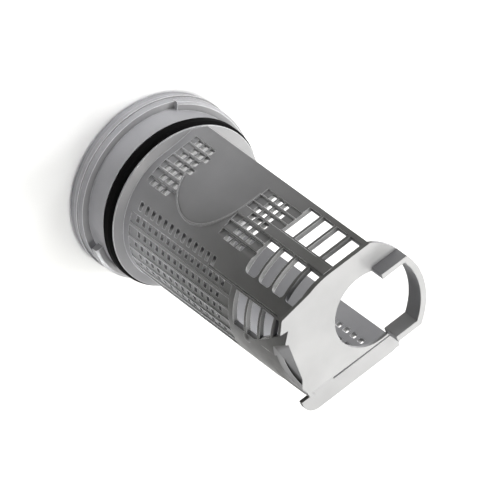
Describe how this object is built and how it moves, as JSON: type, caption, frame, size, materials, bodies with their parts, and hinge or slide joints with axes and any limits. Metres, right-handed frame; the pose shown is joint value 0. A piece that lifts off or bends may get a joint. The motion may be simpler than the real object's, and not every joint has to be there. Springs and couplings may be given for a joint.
{
  "type": "washing machine pump filter cap",
  "caption": "Screw-in drain pump filter: a round threaded cap with a rubber seal, carrying a perforated trough-shaped lint basket with a collared end plate.",
  "frame": {"origin": "middle of the cap's front face, on the grip bar, with the part standing on that face", "axes": "+Z along the basket towards its end plate, +X the way the trough is open, +Y towards the flat wall with the smooth pad"},
  "size_m": [0.0624, 0.0624, 0.1146],
  "materials": {
    "grey_plastic": "satin moulded polypropylene",
    "seal_rubber": "matt black"
  },
  "bodies": {
    "root": {"filter_body": "grey_plastic", "seal_ring": "seal_rubber"}
  },
  "joints": []
}
